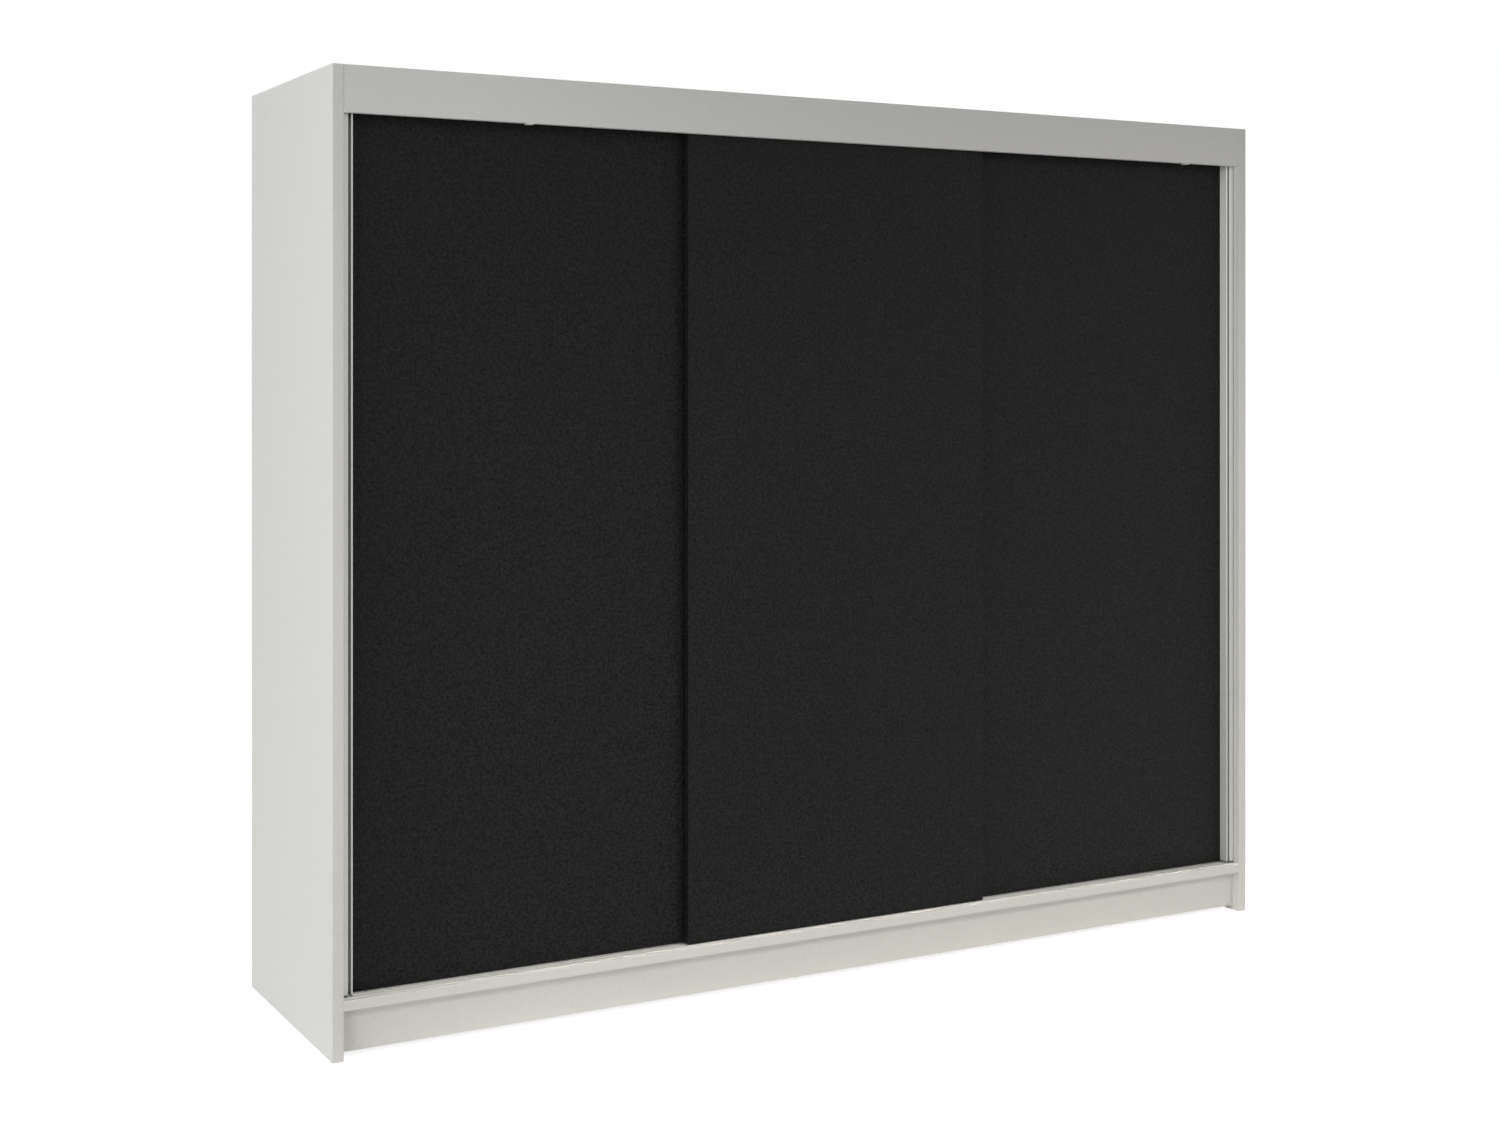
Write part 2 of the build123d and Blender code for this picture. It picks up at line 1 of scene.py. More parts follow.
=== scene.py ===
# %% [markdown]
# # A wardrobe with three sliding doors
#
# The wardrobe is a white carcass of melamine-faced boards with three black doors. Its solids, their
# sizes and their joints come from the CAD model, so nothing is drawn here that the joiner has
# already cut. This notebook gives each board, profile and fitting its finish, adds the small
# hardware that the solids leave out, and sets up a camera and a plain studio.

# %% Load the fixed frame
import json
import math

import bmesh
import bpy
from mathutils import Matrix, Vector


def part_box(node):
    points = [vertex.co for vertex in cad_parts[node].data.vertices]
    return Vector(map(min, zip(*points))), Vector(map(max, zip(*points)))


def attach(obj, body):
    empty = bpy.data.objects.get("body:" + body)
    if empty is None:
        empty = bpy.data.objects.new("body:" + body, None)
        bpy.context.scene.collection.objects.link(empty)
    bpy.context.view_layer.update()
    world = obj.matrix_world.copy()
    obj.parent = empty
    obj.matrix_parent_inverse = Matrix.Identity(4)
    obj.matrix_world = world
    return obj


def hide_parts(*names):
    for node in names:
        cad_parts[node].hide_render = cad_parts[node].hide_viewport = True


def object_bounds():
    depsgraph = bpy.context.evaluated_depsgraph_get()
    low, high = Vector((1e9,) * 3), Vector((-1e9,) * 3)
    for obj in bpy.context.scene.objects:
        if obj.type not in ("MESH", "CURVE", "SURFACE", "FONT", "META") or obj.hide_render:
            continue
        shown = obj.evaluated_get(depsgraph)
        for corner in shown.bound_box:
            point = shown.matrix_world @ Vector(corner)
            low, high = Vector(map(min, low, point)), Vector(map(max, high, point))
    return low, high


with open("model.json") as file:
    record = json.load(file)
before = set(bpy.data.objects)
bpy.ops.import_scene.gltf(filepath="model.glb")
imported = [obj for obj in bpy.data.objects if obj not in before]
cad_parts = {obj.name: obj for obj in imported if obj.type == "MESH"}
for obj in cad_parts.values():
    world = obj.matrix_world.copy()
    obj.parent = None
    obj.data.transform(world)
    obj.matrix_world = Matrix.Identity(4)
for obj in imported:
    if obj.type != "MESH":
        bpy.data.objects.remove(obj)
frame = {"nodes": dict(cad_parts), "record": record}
nodes = frame["nodes"]
cad_box = [list(corner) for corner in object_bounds()]
low, high = (Vector(corner) for corner in cad_box)
print("wardrobe", [round(1000 * side) for side in high - low], "mm,", len(nodes), "nodes")

# %% [markdown]
# ## Where the viewer stands
#
# A wardrobe is looked at standing up, a few steps back and to one side. The camera is very nearly
# level, so upright edges stay upright. A level camera could still show too much floor or ceiling,
# so the lens is shifted instead of tilted, as an architect's camera does it.

# %% Camera
MM = 0.001
EYE_HEIGHT = 1453 * MM
LEFT_OF_SIDE = 1328 * MM
BEFORE_FRONT = 4186 * MM
HEADING = math.radians(28.993)
TILT = math.radians(0.056)
FILM_WIDTH = 36
FOCAL_LENGTH = 49.745
LENS_SHIFT = -0.1328

camera_data = bpy.data.cameras.new("camera")
camera_data.sensor_width = FILM_WIDTH
camera_data.lens = FOCAL_LENGTH
camera_data.shift_y = LENS_SHIFT
camera = bpy.data.objects.new("camera", camera_data)
camera.location = (low.x - LEFT_OF_SIDE, low.y - BEFORE_FRONT, low.z + EYE_HEIGHT)
camera.rotation_euler = (math.pi / 2 + TILT, 0, -HEADING)
bpy.context.scene.collection.objects.link(camera)
bpy.context.scene.camera = camera
bpy.context.scene.view_settings.view_transform = "Standard"
print("camera at", [round(c, 3) for c in camera.location])

# %% [markdown]
# ## Colours and nodes
#
# Colour charts give sRGB values and the renderer works in linear light, so one function converts
# them. Another adds a shader node with its settings and links. A third turns a real size into the
# scale of a pattern: the texture nodes count their features per metre.


# %% Helpers for materials
def linear(code):
    """A hex colour such as #EAEAE7 as linear red, green, blue and alpha."""
    parts = [int(code[i : i + 2], 16) / 255 for i in (1, 3, 5)]
    return [p / 12.92 if p <= 0.04045 else ((p + 0.055) / 1.055) ** 2.4 for p in parts] + [1.0]


def add_node(tree, kind, links=None, **settings):
    """A new node with its settings; each link is a socket of another node or a plain value."""
    made = tree.nodes.new(kind)
    for name, value in settings.items():
        setattr(made, name, value)
    for socket, source in (links or {}).items():
        if isinstance(source, bpy.types.NodeSocket):
            tree.links.new(source, made.inputs[socket])
        else:
            made.inputs[socket].default_value = source
    return made


def per_metre(size_mm):
    """The scale of a texture whose features are size_mm apart."""
    return 1000 / size_mm


def new_material(name):
    """An empty node material with its output and the object's own coordinates."""
    material = bpy.data.materials.new(name)
    material.use_nodes = True
    tree = material.node_tree
    tree.nodes.clear()
    output = tree.nodes.new("ShaderNodeOutputMaterial")
    place = tree.nodes.new("ShaderNodeTexCoord").outputs["Object"]
    return material, tree, output, place


WHITE_BOARD = "#EAEAE7"
print("white board is", [round(c, 3) for c in linear(WHITE_BOARD)[:3]], "in linear light")

# %% [markdown]
# ## Melamine-faced chipboard
#
# The boards are pressed chips under a printed paper that is soaked in melamine resin and pressed
# against an etched steel plate. The plate leaves a fine pebbled skin: it breaks up reflections and
# makes the white boards satin and the black ones nearly matt. The grain is about a millimetre, too
# fine to see across a room, so a coarser mottling of a few millimetres carries it.


# %% White and black melamine
def melamine(name, light, dark, rough, specular, grain_mm, bump_mm):
    material, tree, output, place = new_material(name)
    grain = add_node(
        tree,
        "ShaderNodeTexNoise",
        {"Vector": place, "Scale": per_metre(grain_mm), "Detail": 3.0, "Roughness": 0.6},
    )
    ramp = add_node(tree, "ShaderNodeValToRGB", {"Fac": grain.outputs["Fac"]})
    ramp.color_ramp.elements[0].position = 0.35
    ramp.color_ramp.elements[0].color = linear(dark)
    ramp.color_ramp.elements[1].position = 0.65
    ramp.color_ramp.elements[1].color = linear(light)
    bump = add_node(
        tree, "ShaderNodeBump", {"Height": grain.outputs["Fac"], "Distance": bump_mm * MM}
    )
    surface = add_node(
        tree,
        "ShaderNodeBsdfPrincipled",
        {
            "Base Color": ramp.outputs["Color"],
            "Roughness": rough,
            "IOR": 1.5,
            "Specular IOR Level": specular,
            "Normal": bump.outputs["Normal"],
        },
    )
    tree.links.new(surface.outputs[0], output.inputs["Surface"])
    return material


white_melamine = melamine(
    "white melamine-faced chipboard", WHITE_BOARD, "#E2E2DF", 0.42, 0.5, 3, 0.02
)
black_melamine = melamine(
    "black melamine-faced chipboard", "#262626", "#060606", 0.5, 0.12, 6, 0.06
)
print("melamine materials ready")

# %% [markdown]
# ## Anodised aluminium
#
# The handles and tracks are extruded through a die, which leaves faint straight lines along their
# length, and then etched and anodised: a silver satin metal. The lines are a noise that is
# stretched along the profile. The real lines are finer than a tenth of a millimetre, so they are
# drawn wider here to show. They scatter light sideways, across the profile, so the highlights are
# stretched that way. Handles run upright and tracks across, so the direction is given by axis.


# %% Extruded profiles
ALUMINIUM = "#CCCCC9"
DIE_LINE = 0.8
LINE_LENGTH = 400


def extruded_aluminium(name, along, low_rough, high_rough):
    material, tree, output, place = new_material(name)
    scale = [per_metre(DIE_LINE)] * 3
    scale["XYZ".index(along)] = per_metre(LINE_LENGTH)
    stretch = add_node(tree, "ShaderNodeMapping", {"Vector": place, "Scale": scale})
    lines = add_node(
        tree,
        "ShaderNodeTexNoise",
        {"Vector": stretch.outputs[0], "Scale": 1.0, "Detail": 4.0, "Roughness": 0.6},
    )
    rough = add_node(
        tree,
        "ShaderNodeMapRange",
        {"Value": lines.outputs["Fac"], "To Min": low_rough, "To Max": high_rough},
    )
    round_it = add_node(tree, "ShaderNodeTangent", direction_type="RADIAL", axis=along)
    bump = add_node(
        tree, "ShaderNodeBump", {"Height": lines.outputs["Fac"], "Distance": 0.01 * MM}
    )
    surface = add_node(
        tree,
        "ShaderNodeBsdfPrincipled",
        {
            "Base Color": linear(ALUMINIUM),
            "Metallic": 1.0,
            "Roughness": rough.outputs[0],
            "Anisotropic": 0.8,
            "Tangent": round_it.outputs[0],
            "Normal": bump.outputs["Normal"],
        },
    )
    tree.links.new(surface.outputs[0], output.inputs["Surface"])
    return material


handle_aluminium = extruded_aluminium("anodised aluminium, upright", "Z", 0.5, 0.6)
track_aluminium = extruded_aluminium("anodised aluminium, across", "X", 0.45, 0.55)
print("aluminium materials ready")

# %% [markdown]
# ## Plated steel and zinc
#
# The hanging rails are tubes with bright chromium, smooth as a mirror but for a faint waviness of
# the polished steel below. The screws, pins and brackets are zinc plated: a bluish grey with a soft
# cloudy sheen. The rail holders and cams are zinc castings under nickel, slightly warmer. All three
# are one recipe: a metal colour, and a cloud of a given size that varies its gloss.


# %% Plated metals
def plated_metal(name, bright, dull, cloud_mm, low_gloss, high_gloss, bump_mm):
    material, tree, output, place = new_material(name)
    cloud = add_node(
        tree,
        "ShaderNodeTexNoise",
        {"Vector": place, "Scale": per_metre(cloud_mm), "Detail": 3.0},
    )
    ramp = add_node(tree, "ShaderNodeValToRGB", {"Fac": cloud.outputs["Fac"]})
    ramp.color_ramp.elements[0].position = 0.3
    ramp.color_ramp.elements[0].color = linear(dull)
    ramp.color_ramp.elements[1].position = 0.7
    ramp.color_ramp.elements[1].color = linear(bright)
    gloss = add_node(
        tree,
        "ShaderNodeMapRange",
        {"Value": cloud.outputs["Fac"], "To Min": low_gloss, "To Max": high_gloss},
    )
    bump = add_node(
        tree, "ShaderNodeBump", {"Height": cloud.outputs["Fac"], "Distance": bump_mm * MM}
    )
    surface = add_node(
        tree,
        "ShaderNodeBsdfPrincipled",
        {
            "Base Color": ramp.outputs["Color"],
            "Metallic": 1.0,
            "Roughness": gloss.outputs[0],
            "Normal": bump.outputs["Normal"],
        },
    )
    tree.links.new(surface.outputs[0], output.inputs["Surface"])
    return material


chromed_steel = plated_metal("chromed steel tube", "#D6D8DA", "#CDD0D3", 30, 0.05, 0.12, 0.02)
zinc_steel = plated_metal("zinc-plated steel", "#B9BDC2", "#A2A7AC", 4, 0.28, 0.45, 0.02)
nickel_zinc = plated_metal("nickel-plated zinc casting", "#BDB7AC", "#A9A398", 6, 0.2, 0.35, 0.03)
print("plated metals ready")

# %% [markdown]
# ## Moulded plastics and rubber
#
# The glides, guides, trucks and handle caps are moulded in grey polyamide, the wheels in natural
# nylon, the joint strips and clips in white PVC. A mould leaves an even, faintly pebbled skin. The
# door buffers are clear soft rubber, which lets a little light through.


# %% Plastics
GLOSS_SWING = 0.08


def moulded_plastic(name, colour, rough, pebble_mm, ior, clear=0.0):
    material, tree, output, place = new_material(name)
    pebble = add_node(
        tree,
        "ShaderNodeTexNoise",
        {"Vector": place, "Scale": per_metre(pebble_mm), "Detail": 2.0},
    )
    gloss = add_node(
        tree,
        "ShaderNodeMapRange",
        {
            "Value": pebble.outputs["Fac"],
            "To Min": rough - GLOSS_SWING,
            "To Max": rough + GLOSS_SWING,
        },
    )
    bump = add_node(
        tree, "ShaderNodeBump", {"Height": pebble.outputs["Fac"], "Distance": 0.03 * MM}
    )
    surface = add_node(
        tree,
        "ShaderNodeBsdfPrincipled",
        {
            "Base Color": linear(colour),
            "Roughness": gloss.outputs[0],
            "IOR": ior,
            "Transmission Weight": clear,
            "Normal": bump.outputs["Normal"],
        },
    )
    tree.links.new(surface.outputs[0], output.inputs["Surface"])
    return material


grey_plastic = moulded_plastic("grey moulded polyamide", "#5B5C5E", 0.45, 1.5, 1.53)
nylon = moulded_plastic("natural nylon", "#DAD8CE", 0.38, 2.0, 1.53)
white_plastic = moulded_plastic("white PVC", "#E6E6E3", 0.4, 1.5, 1.54)
clear_rubber = moulded_plastic("clear soft rubber", "#D9D8D2", 0.3, 1.0, 1.45, 0.6)
print("plastics ready")

# %% [markdown]
# ## Beech dowels
#
# The dowels are turned beech. They are hidden in the boards, so a simple grain does: short dark
# flecks, the rays of the wood, along the dowel.

# %% Beech
RAY_LENGTH = 12
RAY_WIDTH = 1.5
beech, tree, output, place = new_material("beech")
grain = (per_metre(RAY_LENGTH), per_metre(RAY_WIDTH), per_metre(RAY_WIDTH))
stretch = add_node(tree, "ShaderNodeMapping", {"Vector": place, "Scale": grain})
fleck = add_node(
    tree, "ShaderNodeTexNoise", {"Vector": stretch.outputs[0], "Scale": 1.0, "Detail": 3.0}
)
ramp = add_node(tree, "ShaderNodeValToRGB", {"Fac": fleck.outputs["Fac"]})
ramp.color_ramp.elements[0].color = linear("#B98A5E")
ramp.color_ramp.elements[1].color = linear("#D9B488")
surface = add_node(
    tree,
    "ShaderNodeBsdfPrincipled",
    {"Base Color": ramp.outputs["Color"], "Roughness": 0.6, "IOR": 1.5},
)
tree.links.new(surface.outputs[0], output.inputs["Surface"])
print("beech ready")

# %% [markdown]
# ## The back sheets
#
# The backs are hardboard: pressed wood fibre, 3 mm thick, with white lacquer on the side that
# faces the clothes and bare brown fibre on the wall side. One board needs two finishes, so the
# depth through the sheet chooses between them.

# %% Lacquered hardboard
LACQUER = 0.4 * MM
FIBRE = 6
inner_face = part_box("middle_back_panel")[0][1]
hardboard, tree, output, place = new_material("hardboard, lacquered inside")
fibre = add_node(
    tree,
    "ShaderNodeTexNoise",
    {"Vector": place, "Scale": per_metre(FIBRE), "Detail": 6.0, "Roughness": 0.7},
)
brown = add_node(tree, "ShaderNodeValToRGB", {"Fac": fibre.outputs["Fac"]})
brown.color_ramp.elements[0].position = 0.3
brown.color_ramp.elements[0].color = linear("#7C5B3D")
brown.color_ramp.elements[1].position = 0.7
brown.color_ramp.elements[1].color = linear("#9A7750")
depth = add_node(tree, "ShaderNodeSeparateXYZ", {"Vector": place})
outside = add_node(
    tree,
    "ShaderNodeMath",
    {0: depth.outputs["Y"], 1: inner_face + LACQUER},
    operation="GREATER_THAN",
)
finish = add_node(
    tree,
    "ShaderNodeMix",
    {"Factor": outside.outputs[0], 6: linear("#E4E3DF"), 7: brown.outputs["Color"]},
    data_type="RGBA",
)
sheen = add_node(
    tree,
    "ShaderNodeMapRange",
    {"Value": outside.outputs[0], "To Min": 0.4, "To Max": 0.8},
)
bump = add_node(
    tree, "ShaderNodeBump", {"Height": fibre.outputs["Fac"], "Distance": 0.05 * MM}
)
surface = add_node(
    tree,
    "ShaderNodeBsdfPrincipled",
    {
        "Base Color": finish.outputs[2],
        "Roughness": sheen.outputs[0],
        "IOR": 1.5,
        "Normal": bump.outputs["Normal"],
    },
)
tree.links.new(surface.outputs[0], output.inputs["Surface"])
print("hardboard is white up to", round(1000 * (inner_face + LACQUER), 1), "mm")

# %% [markdown]
# ## Dressing the solids
#
# Every solid carries the name of its finish in the record. The model stores its faces apart, so
# round parts would look faceted: a Weld modifier joins the faces, and an Edge Split keeps the
# true edges sharp.

# %% Give each solid its finish
FINISHES = {
    "white_melamine_board": white_melamine,
    "black_melamine_board": black_melamine,
    "white_hardboard": hardboard,
    "anodised_aluminium": handle_aluminium,
    "chromed_steel": chromed_steel,
    "nickel_zinc": nickel_zinc,
    "zinc_plated_steel": zinc_steel,
    "nylon": nylon,
    "grey_plastic": grey_plastic,
    "white_plastic": white_plastic,
    "clear_rubber": clear_rubber,
    "beech": beech,
}
SHARP = math.radians(30)
SAME_POINT = 0.001 * MM


def shade_smoothly(piece):
    """Smooth shading on curved faces, with the true edges kept."""
    for face in piece.data.polygons:
        face.use_smooth = True
    weld = piece.modifiers.new("weld", "WELD")
    weld.merge_threshold = SAME_POINT
    split = piece.modifiers.new("edges", "EDGE_SPLIT")
    split.split_angle = SHARP


for subpart in frame["record"]["subparts"]:
    name = subpart["node"]
    finish = FINISHES[subpart["material_slot"]]
    if name.endswith("_track"):
        finish = track_aluminium
    nodes[name].data.materials.clear()
    nodes[name].data.materials.append(finish)
    shade_smoothly(nodes[name])
print(len(nodes), "solids dressed in", len(FINISHES), "finishes")

# %% [markdown]
# ## Small hardware
#
# The solids leave out what a hand would hardly feel: screw heads, nails, the slots of the cams.
# Their places come from the solids: a small search walks along the edges of a node and finds the
# box of each separate solid in it.


# %% Separate solids of a node
def solids_of(name):
    """The lowest and the highest corner of every separate solid in a node."""
    mesh = bmesh.new()
    mesh.from_mesh(nodes[name].data)
    bmesh.ops.remove_doubles(mesh, verts=mesh.verts, dist=SAME_POINT)
    boxes, seen = [], set()
    for start in mesh.verts:
        group, queue = [], [start]
        while queue:
            point = queue.pop()
            if point in seen:
                continue
            seen.add(point)
            group.append(point.co.copy())
            queue += [edge.other_vert(point) for edge in point.link_edges]
        if group:
            corners = [[pick(p[i] for p in group) for i in range(3)] for pick in (min, max)]
            boxes.append([Vector(corner) for corner in corners])
    mesh.free()
    return boxes


print("the shelves stand on", len(solids_of("shelf_pins")), "pins")

# %% [markdown]
# ### Turned heads
#
# A screw head, a pin and a cam are turned forms. One could be cut from a cylinder, but it is easier
# to build it up from rings of points at given radii and heights, as on a lathe, with a wall between
# each ring and the next.


# %% Rings, walls and flat faces
def ring(mesh, radius_mm, height_mm, sides):
    """A closed ring of points around the Z axis."""
    angles = [2 * math.pi * n / sides for n in range(sides)]
    points = [(radius_mm * math.cos(a), radius_mm * math.sin(a), height_mm) for a in angles]
    return [mesh.verts.new(Vector(point) * MM) for point in points]


def wall(mesh, lower, upper):
    """Faces between two rings with the same number of points."""
    for n, point in enumerate(lower):
        m = (n + 1) % len(lower)
        mesh.faces.new((point, lower[m], upper[m], upper[n]))


def fill_between(mesh, *rings):
    """Flat faces between an outer ring and the rings inside it."""
    edges = []
    for points in rings:
        for n, point in enumerate(points):
            pair = (point, points[(n + 1) % len(points)])
            edges.append(mesh.edges.get(pair) or mesh.edges.new(pair))
    bmesh.ops.triangle_fill(mesh, edges=edges, use_beauty=True)


trial = bmesh.new()
wall(trial, ring(trial, 2, 0, 12), ring(trial, 2, 1, 12))
print("a wall between two rings of 12 points has", len(trial.faces), "faces")
trial.free()

# %% [markdown]
# A screw's top is not closed with one face. It is filled around the outline of a cross, and the
# cross is then sunk into the head, narrower at its foot so that a driver would find its way.


# %% A turned form
ARM_WIDTH = 0.22  # half an arm's width, as a share of its reach
CROSS_FOOT = 0.7  # the cross at its foot, as a share of its size at the top


def as_data(mesh, name):
    """The finished mesh data of a form, with all its faces turned outwards."""
    bmesh.ops.recalc_face_normals(mesh, faces=mesh.faces)
    data = bpy.data.meshes.new(name)
    mesh.to_mesh(data)
    mesh.free()
    return data


def turned(name, profile, sides, cross=0.0, sunk=0.0):
    """A form turned from (radius, height) pairs in mm, with a cross sunk into a screw's top."""
    mesh = bmesh.new()
    rings = [ring(mesh, radius, height, sides) for radius, height in profile]
    mesh.faces.new(rings[0])
    for lower, upper in zip(rings, rings[1:]):
        wall(mesh, lower, upper)
    if not cross:
        mesh.faces.new(rings[-1])
        return as_data(mesh, name)
    top, half = profile[-1][1], ARM_WIDTH * cross
    outline = []
    for quarter in range(4):
        for point in ((cross, -half), (cross, half), (half, half)):
            outline.append(Matrix.Rotation(quarter * math.pi / 2, 2) @ Vector(point))
    rim = [mesh.verts.new(Vector((p.x, p.y, top)) * MM) for p in outline]
    inset = [p * CROSS_FOOT for p in outline]
    foot = [mesh.verts.new(Vector((p.x, p.y, top - sunk)) * MM) for p in inset]
    fill_between(mesh, rings[-1], rim)
    wall(mesh, rim, foot)
    mesh.faces.new(foot)
    return as_data(mesh, name)


trial = turned("trial", [(2, 0), (2, 1)], sides=12, cross=1.2, sunk=0.5)
print("a short head of 12 sides has", len(trial.polygons), "faces")
bpy.data.meshes.remove(trial)

# %% [markdown]
# The holes for cams and screws are six-sided in the solids, which keeps them light. Real ones are
# round, so a thin plastic collar with a round bore lies in each and fills its corners.


# %% A collar
ROUND = 24
FLATS = 6


def collar(name, across_flats, bore, thickness):
    """A six-sided collar with a round bore, which fills the corners of a pocket."""
    mesh = bmesh.new()
    corner = across_flats / 2 / math.cos(math.pi / FLATS)
    lower, upper = [ring(mesh, corner, z, FLATS) for z in (-thickness, 0)]
    low_bore, high_bore = [ring(mesh, bore, z, ROUND) for z in (-thickness, 0)]
    wall(mesh, lower, upper)
    wall(mesh, high_bore, low_bore)
    fill_between(mesh, lower, low_bore)
    fill_between(mesh, upper, high_bore)
    return as_data(mesh, name)


trial = collar("trial", 10.0, 4.0, 0.8)
print("a collar has", len(trial.polygons), "faces")
bpy.data.meshes.remove(trial)

# %% [markdown]
# Equal screws make one piece, as they would come in one bag. Each copy is turned to face its way
# and moved to its place, and the piece rides on the body that it is screwed into.


# %% Copies in place
def hardware(pattern, places, slot, body="carcass", stands_for=()):
    """Many copies of a form as one piece: each place is a point and the way the copy faces."""
    mesh = bmesh.new()
    for point, way in places:
        copy = pattern.copy()
        turn = Vector(way).to_track_quat("Z", "Y").to_matrix().to_4x4()
        copy.transform(Matrix.Translation(point) @ turn)
        mesh.from_mesh(copy)
        bpy.data.meshes.remove(copy)
    data = bpy.data.meshes.new(pattern.name)
    mesh.to_mesh(data)
    mesh.free()
    data.materials.append(FINISHES[slot])
    piece = bpy.data.objects.new(pattern.name, data)
    bpy.context.scene.collection.objects.link(piece)
    shade_smoothly(piece)
    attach(piece, body)
    if stands_for:
        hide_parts(*stands_for)
    print(pattern.name, "at", len(places), "places")


def spread(start, end, spacing_mm):
    """Evenly spaced values from start to end, about a given spacing apart."""
    gaps = max(1, round((end - start) / (spacing_mm * MM)))
    return [start + (end - start) * n / gaps for n in range(gaps + 1)]


print("screws 10 mm apart on 40 mm:", [round(x / MM) for x in spread(0, 40 * MM, 10)])

# %% [markdown]
# ### Cams and partition screws
#
# Knock-down furniture is held by cams: zinc discs that sit in pockets of the top and bottom
# panels and turn against bolts in the side panels. Long screws go through both panels into the
# partitions. Both are turned forms, and they stand in for the plain solids.

# %% Cams and screws in the top and bottom panels
MIDDLE_HEIGHT = (low.z + high.z) / 2


def outer_end(corners):
    """The middle of a solid's end in a panel's outer face, and the way out of the panel."""
    first, last = corners
    up = last.z > MIDDLE_HEIGHT
    middle = (first + last) / 2
    return (middle.x, middle.y, last.z if up else first.z), (0, 0, 1 if up else -1)


cam_places = [outer_end(corners) for corners in solids_of("cam_discs")]
cam_profile = [(7.2, -15.3), (7.4, -15.0), (7.4, -1.0), (7.0, -0.6)]
cam = turned("cams", cam_profile, ROUND, cross=4.4, sunk=2.5)
hardware(cam, cam_places, "nickel_zinc", stands_for=["cam_discs"])
hardware(collar("cam_collars", 15.0, 7.45, 0.8), cam_places, "white_plastic")

screw_places = [outer_end(corners) for corners in solids_of("joint_screws")]
screw_profile = [(0.6, -50.0), (2.4, -45.0), (2.4, -4.5), (4.6, -1.4), (4.6, -0.6)]
partition_screw = turned("partition_screws", screw_profile, ROUND, cross=2.8, sunk=2.0)
hardware(partition_screw, screw_places, "zinc_plated_steel", stands_for=["joint_screws"])
hardware(collar("screw_collars", 9.6, 4.65, 0.8), screw_places, "white_plastic")

# %% [markdown]
# ### Shelf pins
#
# The shelves lie on steel pins. One half of a pin is pushed into the board, up to a collar that
# stops it at the board's face, and the shelf rests on the other half. So each pin has to know on
# which side of its board it is.

# %% Shelf pins
HALF_PIN = 8.0
PIN_CHAMFER = 0.5
NEAR = 1 * MM
outer_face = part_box("right_partition")[1][0]
pin_places = []
for first, last in solids_of("shelf_pins"):
    middle = (first + last) / 2
    on_outer_face = abs(abs(middle.x) - outer_face) < NEAR
    way = math.copysign(1, middle.x) * (1 if on_outer_face else -1)
    pin_places.append((middle, (way, 0, 0)))
sunk_half = [(2.0, -HALF_PIN), (2.5, PIN_CHAMFER - HALF_PIN), (2.5, 0)]
pin_collar = [(4.0, 0), (4.0, 0.4), (2.5, 0.4)]
free_half = [(2.5, HALF_PIN - PIN_CHAMFER), (2.0, HALF_PIN)]
pin = turned("round_shelf_pins", sunk_half + pin_collar + free_half, ROUND)
hardware(pin, pin_places, "zinc_plated_steel", stands_for=["shelf_pins"])

# %% [markdown]
# ### Small screws
#
# Small pan-head screws hold both tracks, the rail holders and the two wall brackets. Only a short
# stub of each is made, because the rest is hidden in the board. The screws stand in rows of an
# even spacing on the tracks, and each small fitting has one.

# %% Screws of the carcass
PAN_HEAD = [(3.0, -0.3), (3.0, 0.5), (2.6, 0.9), (2.0, 1.1)]
PAN_CROSS = 1.5
PAN_SUNK = 0.7
SMALL_ROUND = 16
TRACK_BASE = 1.0 * MM
TRACK_WEB = 1.5 * MM
TRACK_END = 60 * MM
TRACK_SPACING = 470
BRACKET_STEEL = 2.0 * MM
BRACKET_INSET = 12 * MM
CUP_BASE = 3.0 * MM

track_low, track_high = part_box("bottom_track")
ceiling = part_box("top_track")[1][2]
between = (track_low[1] + track_high[1]) / 2
places = []
for x in spread(track_low[0] + TRACK_END, track_high[0] - TRACK_END, TRACK_SPACING):
    places.append(((x, between, track_low[2] + TRACK_BASE), (0, 0, 1)))
    places.append(((x, between, ceiling - TRACK_WEB), (0, 0, -1)))
for first, last in solids_of("wall_brackets"):
    middle = (first + last) / 2
    spot = (middle.x, first.y + BRACKET_INSET, last.z - BRACKET_STEEL)
    places.append((spot, (0, 0, -1)))
for side in ("left", "right"):
    ends = [Vector(corner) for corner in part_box(f"{side}_hanging_rail")]
    centre = (ends[0] + ends[1]) / 2
    for first, last in solids_of("rail_holders"):
        if first.x * centre.x > 0:
            inward = 1 if last.x < centre.x else -1
            base = (first.x if inward > 0 else last.x) + inward * CUP_BASE
            places.append(((base, centre.y, centre.z), (inward, 0, 0)))
small_screw = turned("small_screws", PAN_HEAD, SMALL_ROUND, PAN_CROSS, PAN_SUNK)
hardware(small_screw, places, "zinc_plated_steel")

# %% [markdown]
# The same screws hold the rear leg of each handle to the back of its door, in an upright row.

# %% Screws of the handles
HANDLE_END = 70 * MM
HANDLE_SPACING = 440
LEG_MIDDLE = 12 * MM

for side in ("left", "right"):
    handle_low, handle_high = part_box(f"{side}_door_handle")
    edge, inward = (handle_low[0], 1) if side == "left" else (handle_high[0], -1)
    heights = spread(handle_low[2] + HANDLE_END, handle_high[2] - HANDLE_END, HANDLE_SPACING)
    x = edge + inward * LEG_MIDDLE
    places = [((x, handle_high[1], z), (0, 1, 0)) for z in heights]
    name = f"{side}_handle_screws"
    screw = turned(name, PAN_HEAD, SMALL_ROUND, PAN_CROSS, PAN_SUNK)
    hardware(screw, places, "zinc_plated_steel", body=f"{side}_door")

